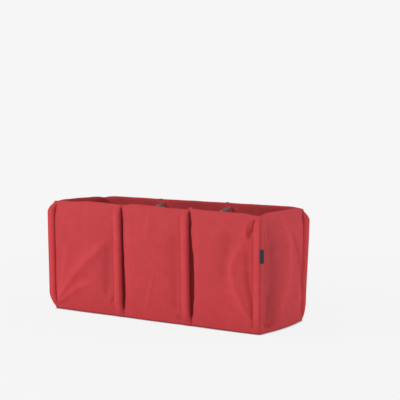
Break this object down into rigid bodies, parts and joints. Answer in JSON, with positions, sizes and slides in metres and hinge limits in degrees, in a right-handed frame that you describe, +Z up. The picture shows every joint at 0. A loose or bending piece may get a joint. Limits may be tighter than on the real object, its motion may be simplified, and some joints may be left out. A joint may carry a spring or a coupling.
{
  "type": "fabric planter",
  "caption": "Long soft-sided planter of coated canvas over felt, with open square compartments in a row, padded upright rolls and a flat base.",
  "frame": {"origin": "centre of the footprint, on the surface that the planter stands on", "axes": "+X along the row of compartments to the right seen from the front, -Y out of the front, +Z up"},
  "size_m": [0.9444, 0.34, 0.408],
  "materials": {
    "coated_canvas": "matte red coated canvas with a fine plain weave",
    "needle_felt": "grey needle-punched felt",
    "glass_fibre": "smooth drawn glass-fibre rod",
    "woven_ribbon": "black woven ribbon, bare"
  },
  "bodies": {
    "root": {"back_divider_1_rod": "glass_fibre", "back_divider_1_roll": "coated_canvas", "back_divider_2_rod": "glass_fibre", "back_divider_2_roll": "coated_canvas", "back_left_corner_rod": "glass_fibre", "back_left_corner_roll": "coated_canvas", "back_lining_left": "needle_felt", "back_lining_middle": "needle_felt", "back_lining_right": "needle_felt", "back_right_corner_rod": "glass_fibre", "back_right_corner_roll": "coated_canvas", "back_rim_hem_left": "coated_canvas", "back_rim_hem_middle": "coated_canvas", "back_rim_hem_right": "coated_canvas", "back_skin_left": "coated_canvas", "back_skin_middle": "coated_canvas", "back_skin_right": "coated_canvas", "base": "coated_canvas", "divider_1": "needle_felt", "divider_2": "needle_felt", "felt_floor": "needle_felt", "front_divider_1_rod": "glass_fibre", "front_divider_1_roll": "coated_canvas", "front_divider_2_rod": "glass_fibre", "front_divider_2_roll": "coated_canvas", "front_left_corner_rod": "glass_fibre", "front_left_corner_roll": "coated_canvas", "front_lining_left": "needle_felt", "front_lining_middle": "needle_felt", "front_lining_right": "needle_felt", "front_right_corner_rod": "glass_fibre", "front_right_corner_roll": "coated_canvas", "front_rim_hem_left": "coated_canvas", "front_rim_hem_middle": "coated_canvas", "front_rim_hem_right": "coated_canvas", "front_skin_left": "coated_canvas", "front_skin_middle": "coated_canvas", "front_skin_right": "coated_canvas", "left_end_lining": "needle_felt", "left_end_rim_hem": "coated_canvas", "left_end_skin": "coated_canvas", "right_end_lining": "needle_felt", "right_end_rim_hem": "coated_canvas", "right_end_skin": "coated_canvas", "side_label": "woven_ribbon"}
  },
  "joints": []
}
